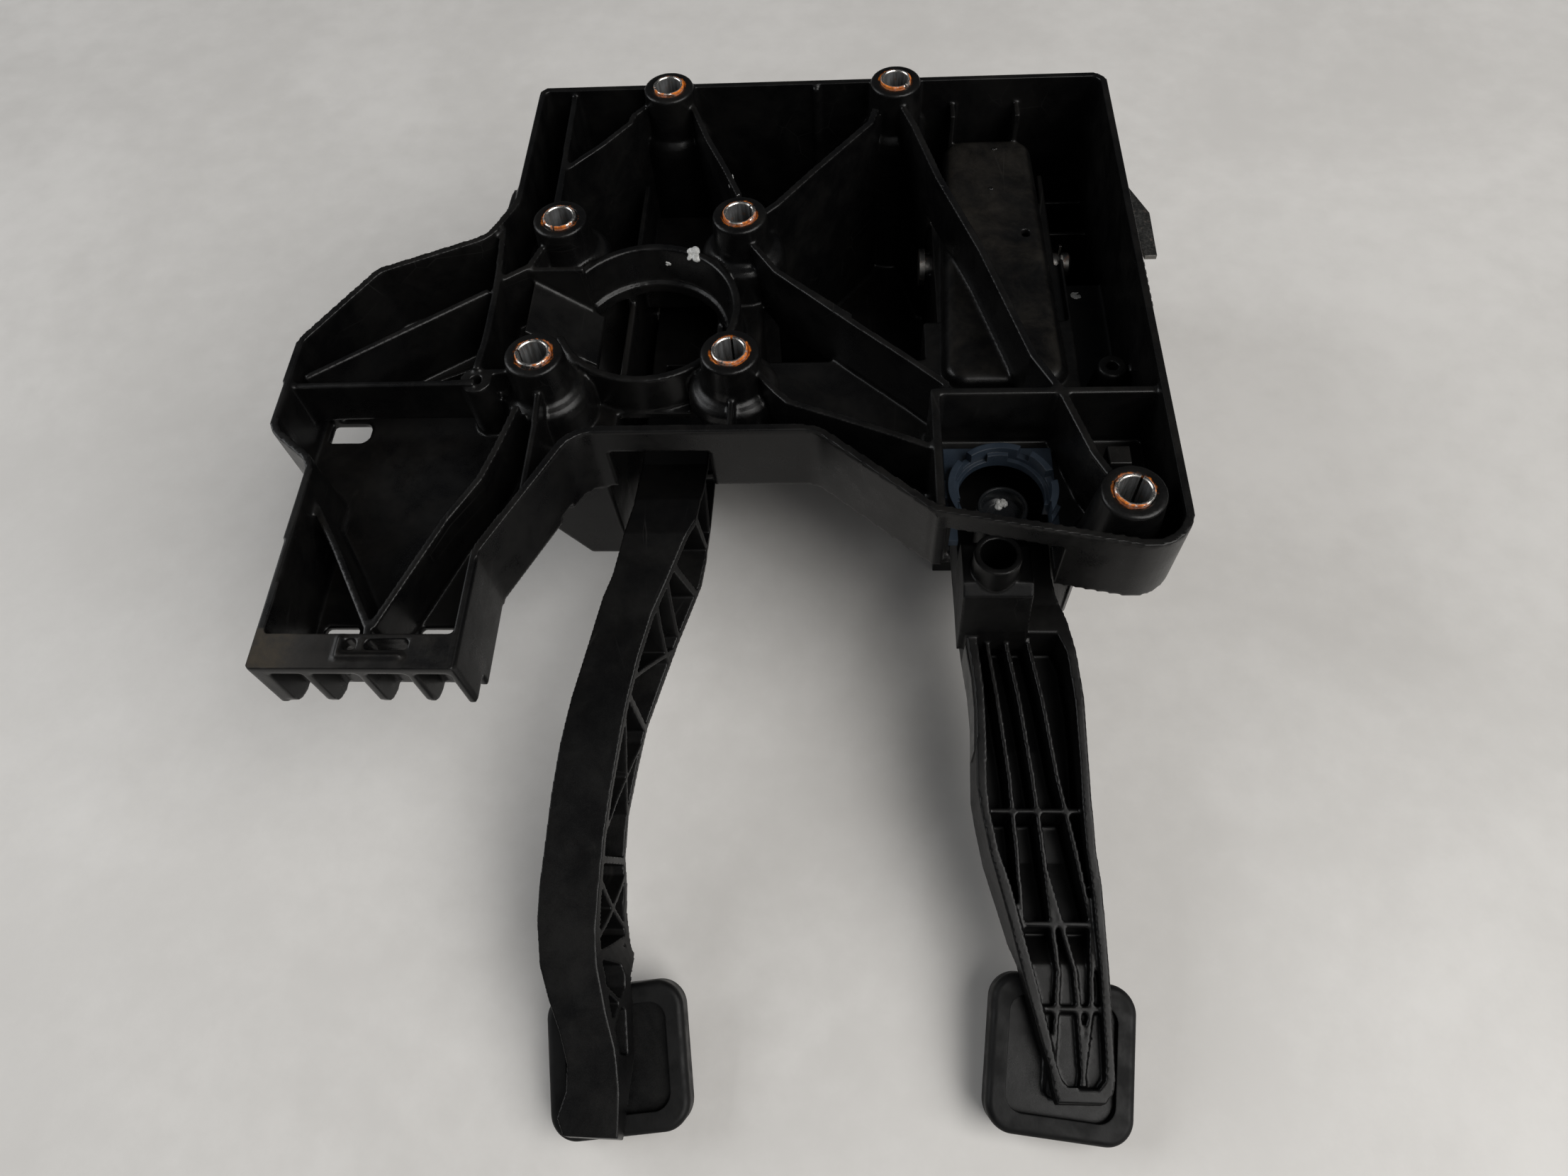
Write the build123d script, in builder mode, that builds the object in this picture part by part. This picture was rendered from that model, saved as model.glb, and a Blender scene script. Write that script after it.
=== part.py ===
from build123d import *
import os
from math import sin, cos, tan, atan2, hypot, radians, sqrt

os.makedirs("parts", exist_ok=True)

# Frame: origin at the centre of the square four-bolt pattern, on the plane of
# the sleeve tops (the face that meets the bulkhead). +Z points to the bulkhead,
# +Y is up in the vehicle, +X is towards the clutch side. Millimetres.

# ---------------------------------------------------------------- dimensions
BOLT_PITCH = 72.0            # square booster pattern
SLEEVE_OR, SLEEVE_IR, SLEEVE_L = 6.6, 5.3, 35.0
SLEEVE_SLIT = 0.9
BOSS_TOP = -1.0
UPPER_BOLTS = [(1.0, 118.0), (99.5, 118.0)]
BOOSTER_BOLTS = [(-36, 36), (36, 36), (-36, -36), (36, -36)]
LOWER_BOLT = (171.0, -98.7)

RIM_TOP = -4.0
WALL = 3.0
FLOOR_B, FLOOR_T = -36.0, -33.0      # shallow floor
DEEP_B, DEEP_T = -95.0, -92.0        # deep floor
FOOT = -135.0                        # lowest edge of the moulding
RIB_T = 2.6
RIB_TOP = -6.0

OPENING_R = 30.0                     # booster opening in the floor
COLLAR_R = 34.0
COLLAR_TOP = -15.4

BRAKE_PIVOT = (62.0, -80.0)          # (Y, Z)
CLUTCH_PIVOT = (53.0, -46.0)
PIN_R = 5.0
BUSH_IR = 5.04
BUSH_OR = 7.0
BRAKE_HUB_X = (-8.0, 22.0)
CLUTCH_HUB_X = (124.0, 156.0)
HUB_R = 12.5

PAD_TILT = 13.0                      # degrees about X
PAD_T = 13.0
BRAKE_PAD = dict(c=(-2.4, -259.0, -116.0), w=49.0, h=49.5, rot=7.0)
CLUTCH_PAD = dict(c=(151.8, -255.0, -116.0), w=50.0, h=52.0, rot=-6.0)

OUTLINE = [(-57.5, 124.5), (190, 124.5), (190, -121.5), (106.5, -104), (67, -70.2),
           (-17.5, -70.2), (-42.5, -119.5), (-42.4, -162), (-109, -162), (-110, -82),
           (-128.6, -67), (-129, -24), (-106.5, 13), (-66, 31), (-57.5, 50)]
OUTLINE_R = [5, 7, 15, 8, 10, 12, 12, 1.5, 1.5, 10, 12, 10, 10, 12, 15]


# ---------------------------------------------------------------- helpers
def poly_sketch(plane, pts, radii=None):
    with BuildSketch(plane) as sk:
        with BuildLine():
            if radii is None:
                Polyline(*pts, close=True)
            else:
                FilletPolyline(*pts, radius=radii, close=True)
        make_face()
    return sk.sketch


def prism(pts, z0, z1, mode=Mode.ADD, radii=None):
    """Vertical prism of an XY polygon between two heights."""
    extrude(poly_sketch(Plane.XY.offset(z0), pts, radii), amount=z1 - z0, mode=mode)


def block(x0, x1, y0, y1, z0, z1, mode=Mode.ADD):
    prism([(x0, y0), (x1, y0), (x1, y1), (x0, y1)], z0, z1, mode)


def side(pts, x0, x1, mode=Mode.ADD, radii=None):
    """Prism along X of a (Y, Z) polygon."""
    extrude(poly_sketch(Plane.YZ.offset(x0), pts, radii), amount=x1 - x0, mode=mode)


def front(pts, y0, y1, mode=Mode.ADD):
    """Prism along Y of an (X, Z) polygon."""
    pl = Plane(origin=(0, y1, 0), x_dir=(1, 0, 0), z_dir=(0, -1, 0))
    extrude(poly_sketch(pl, pts), amount=y1 - y0, mode=mode)


def xrod(y, z, r, x0, x1, mode=Mode.ADD):
    """Cylinder along X."""
    with BuildSketch(Plane.YZ.offset(x0)) as sk:
        with Locations((y, z)):
            Circle(r)
    extrude(sk.sketch, amount=x1 - x0, mode=mode)


def zrod(x, y, r, z0, z1, mode=Mode.ADD, r_top=None):
    """Cylinder or cone along Z."""
    rt = r if r_top is None else r_top
    spin([(0, z0), (r, z0), (rt, z1), (0, z1)], x, y, mode)


def spin(profile, x, y, mode=Mode.ADD):
    """Revolve an (r, z) profile about a vertical axis at x, y."""
    pl = Plane(origin=(x, y, 0), x_dir=(1, 0, 0), z_dir=(0, -1, 0))
    revolve(poly_sketch(pl, profile), axis=Axis((x, y, 0), (0, 0, 1)), mode=mode)


def strip(pts, t):
    """Mitred outline of a polyline of width t."""
    n = len(pts)
    left, right = [], []
    for i in range(n):
        a = pts[max(i - 1, 0)]
        b = pts[i]
        c = pts[min(i + 1, n - 1)]
        d1 = (b[0] - a[0], b[1] - a[1])
        d2 = (c[0] - b[0], c[1] - b[1])
        l1, l2 = hypot(*d1), hypot(*d2)
        if l1 == 0:
            d1, l1 = d2, l2
        if l2 == 0:
            d2, l2 = d1, l1
        n1 = (-d1[1] / l1, d1[0] / l1)
        n2 = (-d2[1] / l2, d2[0] / l2)
        m = (n1[0] + n2[0], n1[1] + n2[1])
        k = t / (m[0] ** 2 + m[1] ** 2)
        left.append((b[0] + m[0] * k, b[1] + m[1] * k))
        right.append((b[0] - m[0] * k, b[1] - m[1] * k))
    return left + right[::-1]


def rib(pts, z0, z1=RIB_TOP, t=RIB_T):
    prism(strip(pts, t), z0, z1)


def arc_pts(cx, cy, r, a0, a1, n):
    return [(cx + r * cos(radians(a0 + (a1 - a0) * i / n)),
             cy + r * sin(radians(a0 + (a1 - a0) * i / n))) for i in range(n + 1)]


def pillar(x, y, base, kind):
    """Boss with a rounded shoulder, standing on the floor at base."""
    if kind == "tall":
        prof = [(0, base), (15.0, base), (14.2, -27), (13.6, -23.5), (12.6, -21.6),
                (11.6, -20.6), (11.2, -17), (10.8, -1.8), (10.2, BOSS_TOP), (0, BOSS_TOP)]
    elif kind == "skirt":
        prof = [(0, base), (18.0, base), (17.4, -22), (16.6, -19.2), (15.2, -17.6), (13.2, -16.8),
                (12.0, -15.4), (11.4, -12), (10.8, -1.8), (10.2, BOSS_TOP), (0, BOSS_TOP)]
    else:
        prof = [(0, base), (14.5, base), (13.2, -26), (12.0, -14), (10.9, -1.8),
                (10.2, BOSS_TOP), (0, BOSS_TOP)]
    spin(prof, x, y)


# ================================================================ housing
with BuildPart() as bracket_housing:
    # shallow tray: floor and rim wall
    prism(OUTLINE, FLOOR_B, RIM_TOP, radii=OUTLINE_R)
    with BuildSketch(Plane.XY.offset(FLOOR_T)) as inner:
        add(offset(poly_sketch(Plane.XY.offset(FLOOR_T), OUTLINE, OUTLINE_R), amount=-WALL,
                   mode=Mode.PRIVATE))
    extrude(inner.sketch, amount=40, mode=Mode.SUBTRACT)
    # deep box over the pedal pivots
    DO = [(-57.5, 41), (-57.5, 124.5), (190, 124.5), (190, 40), (164, 40), (164, 5), (112, 5), (112, -15), (41, -15), (41, 41)]
    DI = [(-54.5, 44), (-54.5, 121.5), (187, 121.5), (187, 43), (167, 43), (167, 8), (109, 8), (109, -12), (44, -12), (44, 44)]
    prism(DO, DEEP_B, FLOOR_B, radii=[1, 5, 7, 1, 1, 1, 1, 1, 1, 1])
    prism(DI, DEEP_T, FLOOR_T + 1, mode=Mode.SUBTRACT, radii=[1, 2, 4, 1, 1, 1, 1, 1, 1, 1])
    # sunken floor right of the clutch dome
    block(164, 190, -51, 42, -51, FLOOR_B)
    block(168.4, 187, -48, 43.5, -48, FLOOR_T + 1, mode=Mode.SUBTRACT)
    # lower skirts that the bracket stands on
    side([(41, -95), (124.5, -95), (124.5, FOOT), (62, FOOT), (41, -112)], -57.5, -54.5)
    side([(50, FLOOR_B), (124.5, FLOOR_B), (124.5, FOOT), (62, FOOT), (26, -92), (5, -50.5), (5, FLOOR_B)], 187, 190)
    front([(-57.5, -95), (190, -95), (190, FOOT), (150, FOOT), (132, -114), (62, -114), (44, FOOT),
           (-12, FOOT), (-26, -118), (-40, -118), (-48, FOOT), (-57.5, FOOT)], 121.5, 124.5)
    # brake channel: roof over the hub and a cheek on each side
    block(-13.5, 27.5, 41, 98, DEEP_B, -54)
    block(-10.5, 24.5, 30, 95, FOOT - 1, -57, mode=Mode.SUBTRACT)
    side([(98, FOOT), (98, FLOOR_B), (-67, FLOOR_B), (-67, -82), (-46, -90), (2, FOOT)], -13.5, -10.5)
    side([(98, FOOT), (98, FLOOR_B), (-30, FLOOR_B), (-30, -60), (2, FOOT)], 24.5, 27.5)
    block(-10.6, 24.6, 95, 98, FOOT, -57)
    # front plate beside the brake arm
    front([(-44.9, FLOOR_B + 1), (-10.6, FLOOR_B + 1), (-10.6, -82.5), (-27, -82.5), (-38.4, -63.5)],
          -70.2, -67.2)
    side([(-67.3, -36), (-67.3, -80), (-44, -36)], -29.5, -27)
    # clutch dome and cheeks
    with BuildPart(mode=Mode.PRIVATE) as dome:
        prism([(115, -28), (163.2, -28), (160.2, 115), (121.8, 115)], DEEP_B, -28, radii=[9, 9, 9, 9])
        fillet(dome.faces().sort_by(Axis.Z)[-1].edges(), 5)
    add(dome.part)
    prism([(118, -25), (161, -25), (157.2, 112), (124.8, 112)], FOOT - 1, -31,
          mode=Mode.SUBTRACT, radii=[6, 6, 6, 6])
    block(118, 161, -60, 6, FOOT - 1, FLOOR_B, mode=Mode.SUBTRACT)
    side([(99, FOOT), (99, -36), (-50, -36), (-54, -80), (-42, FOOT)], 115, 118)
    side([(99, FOOT), (99, -36), (-100, -36), (-100, -86), (-62, -118), (-48, FOOT)], 162.5, 165.5)
    block(117, 163, 96, 99, FOOT, -95)
    # slot for the brake arm in the floor and the notch in the front wall
    block(-10.5, 29, -66, -37.6, FLOOR_B - 1, FLOOR_T + 1, mode=Mode.SUBTRACT)
    block(-7.0, 29, -72, -64, FLOOR_B - 1, -15.5, mode=Mode.SUBTRACT)
    # collar round the booster opening
    zrod(0, 0, COLLAR_R + 3, FLOOR_B, COLLAR_TOP)
    zrod(0, 0, COLLAR_R - 2.5, FLOOR_T + 2, COLLAR_TOP + 1, mode=Mode.SUBTRACT, r_top=COLLAR_R)
    zrod(0, 0, OPENING_R, FLOOR_B - 3, FLOOR_T + 3, mode=Mode.SUBTRACT)

    # ribs of the main tray
    rib([(-42, 122.5), (-41, 80), (-40.5, 44)], DEEP_B)
    rib([(-41, 80), (-40, 46), (-37, 40)], FLOOR_B)
    rib([(-61, 43), (-58, 8.5), (-57.4, -20), (-58.5, -38)], FLOOR_B)
    rib([(-58.5, 60), (-60, 43)], FLOOR_B)
    rib([(-9, 115), (-14.5, 108), (-15.5, 103), (-26, 89), (-41, 72.5)], DEEP_B, -7)
    rib([(10.9, 114), (19.2, 91), (27.6, 72), (34, 56), (36, 44)], DEEP_B, -7)
    rib([(91, 108), (88.5, 99), (65.4, 69.6), (50, 49), (42, 41)], DEEP_B, -7, t=3.0)
    rib([(103, 107), (107, 95), (115.9, 61.5), (130.3, 19.3), (145.3, -35.1), (153.5, -51.4)], -30, -6, t=3.0)
    rib([(144.6, -32), (145.3, -35.1), (153.5, -51.4)], FLOOR_B + 1, -6, t=3.0)
    rib([(103, 107), (107, 95), (114, 69)], DEEP_B, -6, t=3.0)
    rib([(153.5, -51.4), (161.7, -78.9), (168, -92)], FLOOR_B, -6, t=3.0)
    rib([(40, 28), (51, 11), (79.7, -15.9), (100, -34.2), (113.5, -47), (113.5, -51)], FLOOR_B, -7)
    rib([(51, 11), (79.7, -14)], DEEP_B, -7)
    rib([(40, -32), (47, -42), (52, -48.5), (57.5, -54.5), (73.6, -60.8), (93.9, -69.1), (109.5, -76)],
        FLOOR_B, -7)
    rib([(108, -51.5), (188, -51.5)], FLOOR_B, -6, t=3.0)
    rib([(109.2, -51), (109.2, -105)], FLOOR_B, -6, t=3.2)
    rib([(-42, 30), (-47, 16), (-58.5, 8)], FLOOR_B, -7)
    rib([(-35, -44), (-33.8, -64), (-33.8, -95)], FLOOR_B, -9, t=2.4)
    rib([(-42, -37), (-60, -38.5)], FLOOR_B, -8)
    rib([(36, -48), (36, -69)], FLOOR_B, -14, t=2.2)
    # ribs of the wall above the dome
    block(64, 66.4, 119.4, 122, DEEP_T - 1, -5)
    block(124, 126.2, 112, 122, DEEP_T - 1, -15)
    block(152, 154.2, 112, 122, DEEP_T - 1, -15)
    block(161, 188, 104, 106, DEEP_T - 1, -56)
    block(161, 188, 83, 85, DEEP_T - 1, -56)

    # wing ribs
    rib([(-127, -45.2), (-58, -44.4)], -25, -6)
    rib([(-123, -40.6), (-92, -19), (-60.6, 2.8)], FLOOR_B, -6.5)
    rib([(-112, -87), (-95, -113), (-77, -143), (-76, -148)], FLOOR_B, -11)
    rib([(-42.3, -51.5), (-46.5, -70), (-50.4, -84), (-59.5, -101.5), (-75.5, -143)], FLOOR_B, -11)
    rib([(-100, -33.5), (-62, -15)], FLOOR_B, -27, t=1.8)
    # clip ledge, its wall and the fins below it
    block(-106.2, -45.2, -159.2, -149.6, FLOOR_B, FLOOR_T + 1, mode=Mode.SUBTRACT)
    block(-106.2, -45.2, -163, -158, -40, -8, mode=Mode.SUBTRACT)
    block(-111, -40, -163, -152.4, -40, -29, mode=Mode.SUBTRACT)
    block(-108, -43, -151.8, -149.2, FLOOR_B, -6)
    block(-107, -44, -162, -149.2, -8, RIM_TOP)
    for fx in (-104.3, -90.9, -73.2, -57.6):
        side([(-150, -6), (-162, -6), (-162, -26), (-161.2, -29.2), (-159, -31.6), (-155.6, -33),
              (-150, -33)], fx - 1.3, fx + 1.3)
    block(-79.4, -75.6, -155.2, -151.4, -9, -3, mode=Mode.SUBTRACT)
    block(-72.5, -58.8, -155.2, -151.4, -9, -3, mode=Mode.SUBTRACT)
    block(-81, -60, -158.2, -157, -5, -2.6)
    block(-81, -79.8, -158.2, -150.2, -5, -2.6)

    # bosses
    for bx, by in UPPER_BOLTS:
        pillar(bx, by, DEEP_B, "tall")
    pillar(*BOOSTER_BOLTS[0], DEEP_B, "skirt")
    pillar(*BOOSTER_BOLTS[1], DEEP_B, "skirt")
    pillar(*BOOSTER_BOLTS[2], FLOOR_B, "skirt")
    pillar(*BOOSTER_BOLTS[3], FLOOR_B, "skirt")
    pillar(*LOWER_BOLT, FLOOR_B, "plain")
    block(-60, 200, 128.6, 140, -100, 0, mode=Mode.SUBTRACT)
    # pockets that the wide bosses must not close
    zrod(0, 0, COLLAR_R - 2.5, FLOOR_T + 2, 1, mode=Mode.SUBTRACT, r_top=COLLAR_R + 0.4)
    # sloping web between the two left bosses, with a wall at its rear edge
    front([(-46, -13), (-46, 2), (-21.3, 2), (-21.3, -33)], -13, 14, mode=Mode.SUBTRACT)
    front([(-46, FLOOR_B), (-46, -13), (-21.3, -33), (-21.3, FLOOR_B)], -13, 14)
    rib([(-47, 15.2), (-25, 15.2)], FLOOR_B, -8)
    # the pedal channels stay clear below the bosses
    block(-10.5, 24.5, 2, 95, FOOT - 1, -57, mode=Mode.SUBTRACT)
    block(17, 23.6, -55, -37.6, FLOOR_B - 1, -25, mode=Mode.SUBTRACT)
    block(-10.5, 24.5, -40, 42, FOOT - 1, FLOOR_B, mode=Mode.SUBTRACT)
    block(27.5, 35, 51, 73, DEEP_T, -69, mode=Mode.SUBTRACT)
    # cross walls that carry the rest-stop buffers
    block(117.5, 163, -48, -41, FOOT, -95)
    block(-11, 25, 4, 11, FOOT, -98)
    # screw bosses
    zrod(-58.4, -41.9, 6.0, FLOOR_B, -8)
    zrod(-58.4, -41.9, 2.2, -24, -7, mode=Mode.SUBTRACT)
    spin([(0, -51), (8.4, -51), (7.6, -44), (5.8, -29), (5.2, -28), (0, -28)], 179.6, -21)
    zrod(179.6, -21, 2.1, -46, -27, mode=Mode.SUBTRACT)
    block(166, 172, -42, -33, -51, -38)
    block(167.4, 175.7, -79.5, -71.6, FLOOR_B, -12)

    # holes for the sleeves and socket access below them
    for bx, by in UPPER_BOLTS + BOOSTER_BOLTS + [LOWER_BOLT]:
        zrod(bx, by, SLEEVE_OR + 0.02, FLOOR_B - 1, 1, mode=Mode.SUBTRACT)
        zrod(bx, by, 8.6, -100, -35.0, mode=Mode.SUBTRACT)
    # clutch bay: opening in its floor and the cut-out below the bridge
    block(114, 151, -98.5, -61, FLOOR_B - 1, FLOOR_T + 1, mode=Mode.SUBTRACT)
    block(114, 149.5, -107.5, -90, FLOOR_B - 1, FLOOR_T + 1, mode=Mode.SUBTRACT)
    block(111.2, 149.5, -120, -103, FLOOR_B - 1, -13, mode=Mode.SUBTRACT)
    block(110.9, 114.4, -104, -60, FLOOR_B, FLOOR_T)
    # wing windows
    prism([(-122.5, -50.6), (-107, -50.6), (-107, -41), (-122.5, -41)], -40, -30,
          mode=Mode.SUBTRACT, radii=[1, 3.5, 3.5, 1])
    block(-103, -91, -142, -131.8, -40, -30, mode=Mode.SUBTRACT)
    block(-69, -56, -142, -131.8, -40, -30, mode=Mode.SUBTRACT)
    # pivot bores
    xrod(*BRAKE_PIVOT, PIN_R + 0.02, -15, 29, mode=Mode.SUBTRACT)
    xrod(*CLUTCH_PIVOT, PIN_R + 0.02, 113, 167, mode=Mode.SUBTRACT)
    # lugs at the ends of the clutch pin, and slots in the dome beside it
    for lx in (112.2, 165.4):
        side([(CLUTCH_PIVOT[0] - 7, -52), (CLUTCH_PIVOT[0] - 7, -44), (CLUTCH_PIVOT[0] - 5.2, -44),
              (CLUTCH_PIVOT[0] - 5.2, -51), (CLUTCH_PIVOT[0] + 5.2, -51), (CLUTCH_PIVOT[0] + 5.2, -44),
              (CLUTCH_PIVOT[0] + 7, -44), (CLUTCH_PIVOT[0] + 7, -52)], lx, lx + 2.9)
    block(126.5, 129.5, 51, 55, -34, -27, mode=Mode.SUBTRACT)
    block(151.5, 154.5, 51, 55, -34, -27, mode=Mode.SUBTRACT)
# the moulding in adjoining sections, each a few plain walls: (x0, x1, y0, y1, z0, z1)
SECTIONS = {
    "wing_floor": [(-140, -54.5, -147, 41, -37, -33), (-140, -57.5, 41, 60.5, -37, -33)],
    "wing_ledge": [(-140, -38, -170, -147, -45, 1)],
    "wing_rim": [(-140, -61.8, -147, 60.5, -33, 1), (-61.8, -57.5, 41, 60.5, -33, 1)],
    "wing_ribs": [(-61.8, -52, -147, 41, -33, 1), (-52, -36.2, -147, -54.6, -33, 1)],
    "left_floor": [(-54.5, -26, -147, 41, -37, -33)],
    "left_bosses": [(-52, -18, -54.6, 41, -33, 1)],
    "centre_floor": [(-26, 41, -80, 41, -37, -33), (41, 107.4, -110, -15, -37, -33)],
    "collar": [(-18, 18, -40, 41, -33, 1), (18, 41, -18, 18, -33, 1)],
    "right_bosses": [(18, 54, -54.6, -18, -33, 1), (18, 41, 18, 41, -33, 1)],
    "front_wall": [(-36.2, 18, -147, -54.6, -33, 1), (18, 107.4, -125, -54.6, -33, 1), (-18, 18, -54.6, -40, -33, 1)],
    "front_rib": [(41, 107.4, -18, -15, -33, 1), (54, 107.4, -54.6, -18, -33, 1)],
    "bay_floor": [(107.4, 152, -130, -50, -37, -33)],
    "bay_walls": [(107.4, 152, -130, -50, -33, 1)],
    "bolt_corner": [(152, 200, -130, -50, -37, 1)],
    "deep_floor": [(-60, 112, -20, 130, -95, -92), (112, 200, 5, 130, -95, -92)],
    "rear_skirt": [(-60, 200, 99.5, 130, -136, -95), (-60, -50, 0, 99.5, -136, -95), (180, 200, 0, 99.5, -136, -95)],
    "brake_channel": [(-13.5, 27.5, -72, 98.5, -136, -95), (-13.5, 27.5, -72, 41, -92, -37),
                      (-13.5, 27.5, 41, 98.5, -92, -54), (-13.5, 27.5, -72, -20, -95, -92)],
    "front_plate": [(-60, -13.5, -72, -30, -136, -37)],
    "clutch_cheeks": [(112, 166, -125, 99.5, -136, -95), (112, 166, -125, 5, -95, -92), (112, 166, -125, -30, -92, -37)],
    "rear_left": [(-57.5, -13.5, -20, 41, -92, -37), (-57.5, -13.5, 41, 98.5, -92, 1),
                  (-57.5, -18.5, 98.5, 130, -92, 1)],
    "rear_centre": [(-13.5, 27.5, 41, 98.5, -54, 1), (-18.5, 27.5, 98.5, 130, -92, 1)],
    "middle_left": [(27.5, 41, -16, 41, -92, -37), (41, 60, -15, 41, -92, 1), (27.5, 60, 41, 110, -92, 1)],
    "middle_right": [(60, 112, -15, 130, -92, 1), (27.5, 60, 110, 130, -92, 1)],
    "dome": [(112, 163.5, -30, 121.4, -92, -26), (112, 163.5, -50, -30, -37, -26), (107.4, 112, -50, -15, -37, 1)],
    "dome_ribs": [(112, 166, 121.4, 130, -92, 1), (112, 163.5, -50, 121.4, -26, 1)],
    "side_wall": [(163.5, 200, -30, 121.4, -92, 1), (163.5, 200, -50, -30, -37, 1), (166, 200, -53, -30, -92, -37),
                  (166, 200, 121.4, 130, -92, 1)],
}


def section(name, cells):
    """One section of the moulding; crumbs under 20 mm3 left at its borders are dropped."""
    with BuildPart() as piece:
        for c in cells:
            block(*c)
        add(bracket_housing.part, mode=Mode.INTERSECT)
    whole = [s for s in piece.part.solids() if s.volume > 20]
    with BuildPart() as kept:
        add(whole)
    kept.part.label = "housing_" + name
    export_step(kept.part, f"parts/housing_{name}.step")
    return kept.part


housing_sections = [section(n, c) for n, c in SECTIONS.items()]


# ================================================================ sleeves
def sleeve_at(x, y, slit_deg):
    """Rolled steel sleeve with its slit."""
    with BuildPart() as s:
        with BuildSketch(Plane(origin=(x, y, -SLEEVE_L))):
            Circle(SLEEVE_OR)
            Circle(SLEEVE_IR, mode=Mode.SUBTRACT)
            with Locations(Location((0, 0), slit_deg)):
                with Locations((SLEEVE_OR, 0)):
                    Rectangle(SLEEVE_OR, SLEEVE_SLIT, mode=Mode.SUBTRACT)
        extrude(amount=SLEEVE_L)
        chamfer(s.faces().sort_by(Axis.Z)[-1].outer_wire().edges().filter_by(GeomType.CIRCLE), 0.35)
    return s.part


with BuildPart() as booster_sleeves:
    for (bx, by), deg in zip(BOOSTER_BOLTS, (255, 40, 170, 85)):
        add(sleeve_at(bx, by, deg))
booster_sleeves.part.label = "booster_sleeves"
export_step(booster_sleeves.part, "parts/booster_sleeves.step")

with BuildPart() as upper_sleeves:
    for (bx, by), deg in zip(UPPER_BOLTS, (200, 310)):
        add(sleeve_at(bx, by, deg))
upper_sleeves.part.label = "upper_sleeves"
export_step(upper_sleeves.part, "parts/upper_sleeves.step")

with BuildPart() as lower_sleeve:
    add(sleeve_at(*LOWER_BOLT, 60))
lower_sleeve.part.label = "lower_sleeve"
export_step(lower_sleeve.part, "parts/lower_sleeve.step")


# ================================================================ pivot pins
def pin(name, yz, x0, x1, clip_x):
    """Headed pin with a groove for its clip."""
    y, z = yz
    with BuildPart() as p:
        xrod(y, z, PIN_R, x0, x1)
        xrod(y, z, 7.6, x0 - 2.4, x0)
        with BuildSketch(Plane.YZ.offset(clip_x)) as g:
            with Locations((y, z)):
                Circle(PIN_R + 1)
                Circle(4.2, mode=Mode.SUBTRACT)
        extrude(g.sketch, amount=1.2, mode=Mode.SUBTRACT)
        chamfer(p.edges().filter_by(GeomType.CIRCLE).sort_by(Axis.X)[-1], 0.8)
    p.part.label = name
    export_step(p.part, f"parts/{name}.step")
    return p.part


def clip(name, yz, x):
    """Open retaining ring in the groove."""
    y, z = yz
    with BuildPart() as c:
        with BuildSketch(Plane.YZ.offset(x + 0.1)) as s:
            with Locations((y, z)):
                Circle(8.2)
                Circle(4.25, mode=Mode.SUBTRACT)
            with Locations((y, z + 6)):
                Rectangle(5.0, 12, mode=Mode.SUBTRACT)
        extrude(amount=1.0)
    c.part.label = name
    export_step(c.part, f"parts/{name}.step")
    return c.part


brake_pivot_pin = pin("brake_pivot_pin", BRAKE_PIVOT, -13.6, 31.5, 28.0)
brake_pin_clip = clip("brake_pin_clip", BRAKE_PIVOT, 28.0)
clutch_pivot_pin = pin("clutch_pivot_pin", CLUTCH_PIVOT, 112.0, 174.0, 169.0)
clutch_pin_clip = clip("clutch_pin_clip", CLUTCH_PIVOT, 169.0)


# ================================================================ bushes
def bushes(name, yz, x0, x1):
    """Pair of flanged bushes, one at each end of a hub."""
    y, z = yz
    with BuildPart() as b:
        xrod(y, z, BUSH_OR, x0, x0 + 10)
        xrod(y, z, 9.2, x0 - 1.0, x0)
        xrod(y, z, BUSH_OR, x1 - 10, x1)
        xrod(y, z, 9.2, x1, x1 + 1.0)
        xrod(y, z, BUSH_IR, x0 - 2, x1 + 2, mode=Mode.SUBTRACT)
    b.part.label = name
    export_step(b.part, f"parts/{name}.step")
    return b.part


brake_bushes = bushes("brake_bushes", BRAKE_PIVOT, *BRAKE_HUB_X)
clutch_bushes = bushes("clutch_bushes", CLUTCH_PIVOT, *CLUTCH_HUB_X)


# ================================================================ pads
def pad_plane(d):
    """Plane of the rim of a pad: local x across, local y up, local z to the bulkhead."""
    t, r = radians(PAD_TILT), radians(d["rot"])
    zd = (0, -sin(t), cos(t))
    xd = (cos(r), sin(r), sin(r) * tan(t))
    return Plane(origin=d["c"], x_dir=xd, z_dir=zd)


def pad_rubber(name, d):
    """Rubber shoe that wraps the edge of its plate."""
    w, h = d["w"], d["h"]
    pl = pad_plane(d)
    with BuildPart() as p:
        with BuildSketch(pl.offset(-PAD_T)):
            RectangleRounded(w, h, 9.5)
        extrude(amount=PAD_T)
        fillet(p.faces().sort_by(Axis.Z)[-1].outer_wire().edges(), 2.4)
        fillet(p.faces().sort_by(Axis.Z)[0].outer_wire().edges(), 2.0)
        # pocket for the plate, and the mouth that shows it
        with BuildSketch(pl.offset(-7.0)):
            RectangleRounded(w - 6, h - 6, 7.5)
        extrude(amount=4.0, mode=Mode.SUBTRACT)
        with BuildSketch(pl.offset(-4.0)):
            RectangleRounded(w - 13, h - 14, 6)
        extrude(amount=5.0, mode=Mode.SUBTRACT)
        # tread grooves on the foot side
        with BuildSketch(pl.offset(-PAD_T)):
            with GridLocations(0, 8.4, 1, 5):
                Rectangle(w - 12, 2.0)
        extrude(amount=1.6, mode=Mode.SUBTRACT)
    p.part.label = name
    export_step(p.part, f"parts/{name}.step")
    return p.part


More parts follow.
